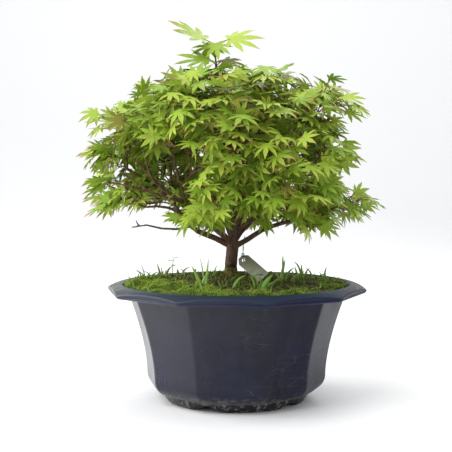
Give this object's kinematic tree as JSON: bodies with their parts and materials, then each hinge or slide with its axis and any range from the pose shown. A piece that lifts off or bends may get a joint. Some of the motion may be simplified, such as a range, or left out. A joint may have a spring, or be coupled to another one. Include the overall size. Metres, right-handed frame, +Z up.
{
  "type": "bonsai tree in a pot",
  "caption": "Bonsai Japanese maple with a short trunk and a wide leafy crown, growing in mossy soil in a many-sided blue glazed pot, with a blank tied-on plant label.",
  "frame": {"origin": "centre of the pot's base, on the surface it stands on", "axes": "+Z up along the pot's axis; -Y is the front, the side the label is on; +X to the right seen from the front"},
  "size_m": [0.3649, 0.3219, 0.455],
  "materials": {
    "glazed_pot": "dark blue gloss glaze under a thin film of dust, with chalky mineral marks near the foot",
    "soil": "damp crumbly potting soil with brown leaf litter",
    "moss": "dense short living moss, matte",
    "bark": "fine grey-brown bark, reddish above and mossy below a dark ring",
    "maple_leaves": "thin yellow-green leaf blades, some with pinkish edges",
    "weed_leaves": "thin bright green blades with a slight sheen",
    "label_plastic": "weathered grey-green, blank",
    "wire": "dull thin wire"
  },
  "bodies": {
    "root": {"grass_back_left": "weed_leaves", "grass_back_right": "weed_leaves", "grass_front": "weed_leaves", "grass_front_left": "weed_leaves", "grass_front_right": "weed_leaves", "grass_left": "weed_leaves", "grass_right": "weed_leaves", "label_wire": "wire", "leaves_back_1": "maple_leaves", "leaves_back_2": "maple_leaves", "leaves_back_left_1": "maple_leaves", "leaves_back_right_1": "maple_leaves", "leaves_back_top_1": "maple_leaves", "leaves_front_1": "maple_leaves", "leaves_front_2": "maple_leaves", "leaves_front_left_1": "maple_leaves", "leaves_front_top_1": "maple_leaves", "leaves_front_top_2": "maple_leaves", "leaves_leader_1": "maple_leaves", "leaves_leader_2": "maple_leaves", "leaves_leader_3": "maple_leaves", "leaves_leader_4": "maple_leaves", "leaves_left_low_1": "maple_leaves", "leaves_left_low_2": "maple_leaves", "leaves_left_rise_1": "maple_leaves", "leaves_left_rise_2": "maple_leaves", "leaves_left_side_1": "maple_leaves", "leaves_left_top_1": "maple_leaves", "leaves_left_top_2": "maple_leaves", "leaves_right_front_1": "maple_leaves", "leaves_right_front_2": "maple_leaves", "leaves_right_low_1": "maple_leaves", "leaves_right_low_2": "maple_leaves", "leaves_right_top_1": "maple_leaves", "leaves_right_top_2": "maple_leaves", "leaves_right_up_1": "maple_leaves", "leaves_right_up_2": "maple_leaves", "moss_back_left": "moss", "moss_back_right": "moss", "moss_front": "moss", "moss_front_left": "moss", "moss_front_right": "moss", "moss_left": "moss", "moss_right": "moss", "name_label": "label_plastic", "pot": "glazed_pot", "seedling_left": "weed_leaves", "seedling_right": "weed_leaves", "soil": "soil", "trunk_and_limbs": "bark"}
  },
  "joints": []
}
